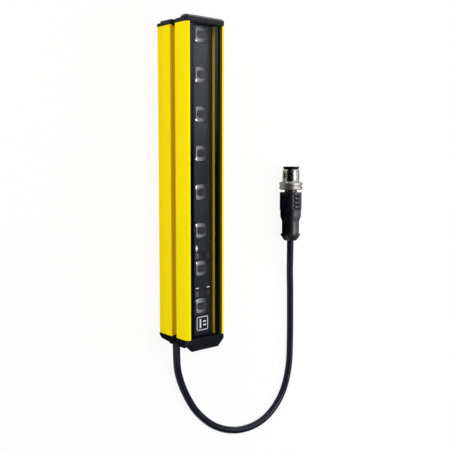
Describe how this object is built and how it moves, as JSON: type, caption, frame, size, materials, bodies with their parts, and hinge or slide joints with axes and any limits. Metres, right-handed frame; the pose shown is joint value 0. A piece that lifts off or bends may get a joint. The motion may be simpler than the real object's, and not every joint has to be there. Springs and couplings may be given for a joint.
{
  "type": "safety light curtain",
  "caption": "Safety light curtain bar: slotted yellow housing, smoked window over a row of lenses, black end caps, and a cable with a round screw plug.",
  "frame": {"origin": "under the middle of the curtain, without its cable and plug, on the surface that its rear face lies on", "axes": "+Y along the curtain towards the cap without the cable, +Z out of the window, +X to the right of the window when +Y is up"},
  "size_m": [0.1187, 0.2771, 0.029],
  "materials": {
    "yellow_housing": "smooth safety-yellow coat on extruded aluminium",
    "smoked_screen": "clear smoked sheet with a black printed border",
    "black_rubber": "matt",
    "cap_plastic": "fine moulded texture",
    "screw_steel": "zinc plated",
    "carrier_plastic": "matt dark grey",
    "lens_plastic": "clear, polished",
    "diode_resin": "dark infrared resin",
    "board_laminate": "green solder mask",
    "chip_resin": "moulded epoxy",
    "led_resin": "white resin",
    "pipe_plastic": "clear, milky",
    "connector_plastic": "natural nylon",
    "lead_insulation": "thin insulation",
    "cable_jacket": "smooth blue-black jacket",
    "plug_moulding": "smooth black moulding",
    "nickel_plate": "nickel-plated brass",
    "insert_plastic": "black",
    "pin_gold": "gilded"
  },
  "bodies": {
    "curtain": {"housing_profile": "yellow_housing", "front_screen": "smoked_screen", "screen_seal_left": "black_rubber", "screen_seal_right": "black_rubber", "top_gasket": "black_rubber", "bottom_gasket": "black_rubber", "cable_grommet": "black_rubber", "top_cap": "cap_plastic", "bottom_cap": "cap_plastic", "top_cap_screws": "screw_steel", "bottom_cap_screws": "screw_steel", "optics_carrier": "carrier_plastic", "lens_1": "lens_plastic", "lens_2": "lens_plastic", "lens_3": "lens_plastic", "lens_4": "lens_plastic", "lens_5": "lens_plastic", "lens_6": "lens_plastic", "lens_7": "lens_plastic", "lens_8": "lens_plastic", "beam_diode_1": "diode_resin", "beam_diode_2": "diode_resin", "beam_diode_3": "diode_resin", "beam_diode_4": "diode_resin", "beam_diode_5": "diode_resin", "beam_diode_6": "diode_resin", "beam_diode_7": "diode_resin", "beam_diode_8": "diode_resin", "circuit_board": "board_laminate", "control_chip_1": "chip_resin", "control_chip_2": "chip_resin", "indicator_led_1": "led_resin", "indicator_led_2": "led_resin", "indicator_led_3": "led_resin", "indicator_led_4": "led_resin", "light_pipe_1": "pipe_plastic", "light_pipe_2": "pipe_plastic", "light_pipe_3": "pipe_plastic", "light_pipe_4": "pipe_plastic", "board_connector": "connector_plastic", "lead_1": "lead_insulation", "lead_2": "lead_insulation", "lead_3": "lead_insulation", "lead_4": "lead_insulation", "lead_5": "lead_insulation", "cable": "cable_jacket", "plug_body": "plug_moulding", "contact_insert": "insert_plastic", "contact_pin_1": "pin_gold", "contact_pin_2": "pin_gold", "contact_pin_3": "pin_gold", "contact_pin_4": "pin_gold", "contact_pin_5": "pin_gold"},
    "plug_screw": {"coupling_screw": "nickel_plate"}
  },
  "joints": [
    {"name": "plug_screw_spin", "type": "hinge", "parent": "curtain", "child": "plug_screw", "pos_m": [0.0945, 0, 0.0082], "axis": [0, 1, 0], "continuous": true}
  ]
}
